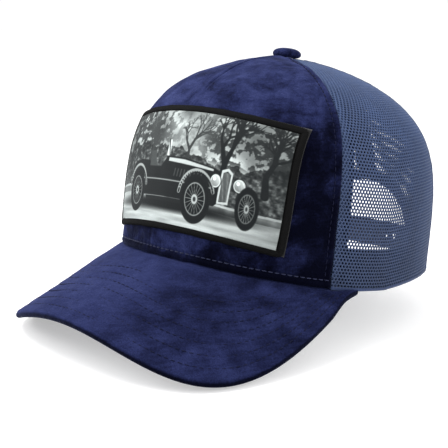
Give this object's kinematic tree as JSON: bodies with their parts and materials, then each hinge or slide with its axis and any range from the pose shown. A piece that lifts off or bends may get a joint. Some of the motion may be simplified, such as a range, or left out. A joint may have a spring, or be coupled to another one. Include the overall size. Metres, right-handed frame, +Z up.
{
  "type": "trucker mesh cap",
  "caption": "Trucker cap: velvet front panel and curved visor, mesh sides and back, covered top button, bordered front patch and a snap strap under an arched rear opening.",
  "frame": {"origin": "middle of the head opening, where the wearer's head fills it", "axes": "+Z up as worn, -Y to the front over the visor, +X to the wearer's left"},
  "size_m": [0.1834, 0.2481, 0.154],
  "materials": {
    "velvet": "crushed velvet, navy",
    "backing": "stiffened buckram, white",
    "mesh": "polyester mesh with oval holes, navy",
    "tape": "woven seam tape, navy",
    "sweatband": "twill sweatband, dark navy",
    "binding": "folded cotton binding, navy",
    "visor_board": "flexible sheet",
    "under_cover": "cotton twill, dark navy",
    "button_metal": "tinned pressing",
    "patch_cloth": "black woven twill",
    "patch_print": "satin printed in greys",
    "patch_border": "overlocked rayon thread, black",
    "strap_plastic": "moulded, navy, slight sheen",
    "thread": "polyester sewing thread, navy"
  },
  "bodies": {
    "crown": {"front_panel": "velvet", "front_backing": "backing", "side_mesh_left": "mesh", "side_mesh_right": "mesh", "rear_mesh_left": "mesh", "rear_mesh_right": "mesh", "front_seam_tape_left": "tape", "front_seam_tape_right": "tape", "rear_seam_tape_left": "tape", "rear_seam_tape_right": "tape", "centre_back_seam_tape": "tape", "sweatband": "sweatband", "rear_opening_binding": "binding", "visor_board": "visor_board", "visor_top_cover": "velvet", "visor_under_cover": "under_cover", "button_cover": "velvet", "button_core": "button_metal", "button_rivet": "button_metal", "button_washer": "button_metal", "patch_backing": "patch_cloth", "patch_print": "patch_print", "patch_border": "patch_border", "strap_holes_tab": "strap_plastic", "strap_pegs_tab": "strap_plastic"},
    "strap_left": {"strap_holes": "strap_plastic"},
    "strap_right": {"strap_pegs": "strap_plastic"}
  },
  "joints": [
    {"name": "strap_left_flex", "type": "hinge", "parent": "crown", "child": "strap_left", "pos_m": [0.03655, 0.08822, 0.00558], "axis": [0, 0.1357, 0.9907], "range_deg": [-50, 0], "stiffness_Nm_per_rad": 0.01},
    {"name": "strap_right_flex", "type": "hinge", "parent": "crown", "child": "strap_right", "pos_m": [-0.03655, 0.08822, 0.00558], "axis": [0, 0.1357, 0.9907], "range_deg": [-25, 0], "stiffness_Nm_per_rad": 0.01}
  ]
}
